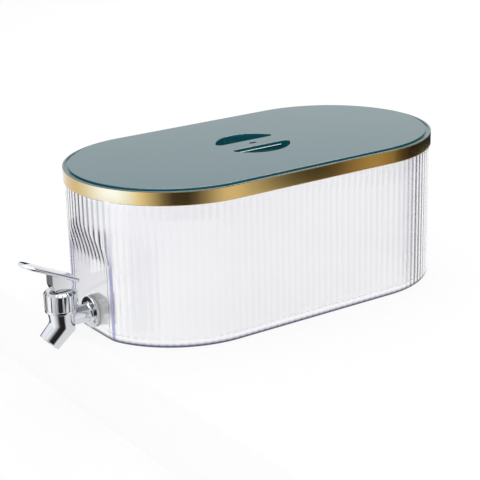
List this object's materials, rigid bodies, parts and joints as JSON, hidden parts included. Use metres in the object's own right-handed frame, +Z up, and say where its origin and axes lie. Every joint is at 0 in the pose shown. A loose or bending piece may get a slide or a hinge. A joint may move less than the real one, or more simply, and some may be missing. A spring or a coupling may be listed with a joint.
{
  "type": "drink dispenser",
  "caption": "Clear fluted stadium-shaped drink dispenser with a lift-off lid, gilt band and push-lever tap in a flat end panel.",
  "frame": {"origin": "middle of the tank's flat underside, on the plane that it stands on", "axes": "+X along the tank away from the tap, +Y to the rear long side, +Z up"},
  "size_m": [0.3685, 0.17, 0.1287],
  "materials": {
    "clear_plastic": "clear moulded, polished",
    "teal_plastic": "gloss moulded",
    "gilt_plating": "mirror gilt plating on plastic",
    "silicone": "translucent matte silicone",
    "plated_tap": "mirror chrome plating on plastic",
    "white_plastic": "moulded",
    "black_rubber": "moulded cord",
    "spring_steel": "drawn wire"
  },
  "bodies": {
    "tank": {"tank_body": "clear_plastic", "tap_body": "plated_tap", "outer_washer": "silicone", "inner_washer": "silicone", "lock_nut": "white_plastic", "tap_collar": "plated_tap", "stem_guide": "white_plastic", "guide_ring": "black_rubber", "stem_ring": "black_rubber", "valve_spring": "spring_steel"},
    "lid": {"lid_shell": "teal_plastic", "gilt_band": "gilt_plating", "lid_seal": "silicone"},
    "valve": {"valve_stem": "white_plastic", "seat_cup": "silicone", "lever_pin": "spring_steel"},
    "lever": {"tap_lever": "plated_tap"}
  },
  "joints": [
    {"name": "lid_lift", "type": "slide", "parent": "tank", "child": "lid", "axis": [0, 0, 1], "range_m": [0, 0.06]},
    {"name": "valve_lift", "type": "slide", "parent": "tank", "child": "valve", "axis": [0, 0, 1], "range_m": [0, 0.0021], "deforming": ["valve_spring"]},
    {"name": "lever_tilt", "type": "hinge", "parent": "valve", "child": "lever", "pos_m": [-0.1777, 0, 0.04235], "axis": [0, -1, 0], "range_deg": [0, 30], "stiffness_Nm_per_rad": 0.0144, "springref_deg": -42.97}
  ],
  "couplings": [
    {"joint": "valve_lift", "follows": "lever_tilt", "m_per_rad": 0.004}
  ]
}
